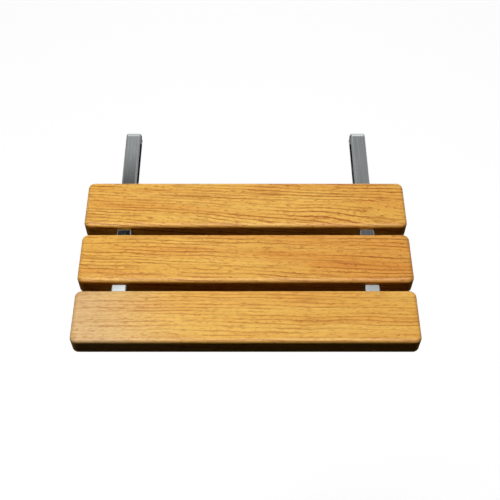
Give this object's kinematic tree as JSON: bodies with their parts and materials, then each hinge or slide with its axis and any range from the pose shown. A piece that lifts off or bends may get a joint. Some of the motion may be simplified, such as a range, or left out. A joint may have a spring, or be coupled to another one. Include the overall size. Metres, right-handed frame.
{
  "type": "fold down wall seat",
  "caption": "Wooden slat seat on two steel channel rails, with wall arms and hooked braces that fold flat into the rails.",
  "frame": {"origin": "centre of the four wall screw holes, on the face of the wall arms that lies against the wall", "axes": "+X to the right along the slats, -Y towards the seat's front edge and +Y towards the pivots, +Z out of the sitting surface, with the seat folded flat; the wall is the plane z = 0"},
  "size_m": [0.4, 0.3228, 0.028],
  "materials": {
    "wood": "oiled, fine grain along the slats",
    "channel_steel": "brushed lengthwise",
    "fastener_steel": "smooth turned",
    "nylon": "matte natural nylon",
    "buffer_rubber": "matte black rubber"
  },
  "bodies": {
    "seat": {"rear_slat": "wood", "middle_slat": "wood", "front_slat": "wood", "rear_slat_screws": "fastener_steel", "middle_slat_screws": "fastener_steel", "front_slat_screws": "fastener_steel", "wall_buffers": "buffer_rubber", "left_rail": "channel_steel", "left_pivot_pin": "fastener_steel", "left_pivot_washers": "nylon", "left_brace_pin": "fastener_steel", "left_brace_spacers": "nylon", "right_rail": "channel_steel", "right_pivot_pin": "fastener_steel", "right_pivot_washers": "nylon", "right_brace_pin": "fastener_steel", "right_brace_spacers": "nylon"},
    "left_arm": {"left_wall_arm": "channel_steel", "left_catch_pin": "fastener_steel", "left_pivot_bush": "nylon"},
    "right_arm": {"right_wall_arm": "channel_steel", "right_catch_pin": "fastener_steel", "right_pivot_bush": "nylon"},
    "left_brace": {"left_brace": "channel_steel"},
    "right_brace": {"right_brace": "channel_steel"}
  },
  "joints": [
    {"name": "left_arm_fold", "type": "hinge", "parent": "seat", "child": "left_arm", "pos_m": [-0.15, 0.05, 0.012], "axis": [1, 0, 0], "range_deg": [0, 90]},
    {"name": "right_arm_fold", "type": "hinge", "parent": "seat", "child": "right_arm", "pos_m": [0.15, 0.05, 0.012], "axis": [1, 0, 0], "range_deg": [0, 90]},
    {"name": "left_brace_swing", "type": "hinge", "parent": "seat", "child": "left_brace", "pos_m": [-0.15, -0.07551, 0.012], "axis": [1, 0, 0], "range_deg": [0, 141.31]},
    {"name": "right_brace_swing", "type": "hinge", "parent": "seat", "child": "right_brace", "pos_m": [0.15, -0.07551, 0.012], "axis": [1, 0, 0], "range_deg": [0, 141.31]}
  ],
  "couplings": [
    {"joint": "right_arm_fold", "follows": "left_arm_fold", "ratio": 1}
  ]
}
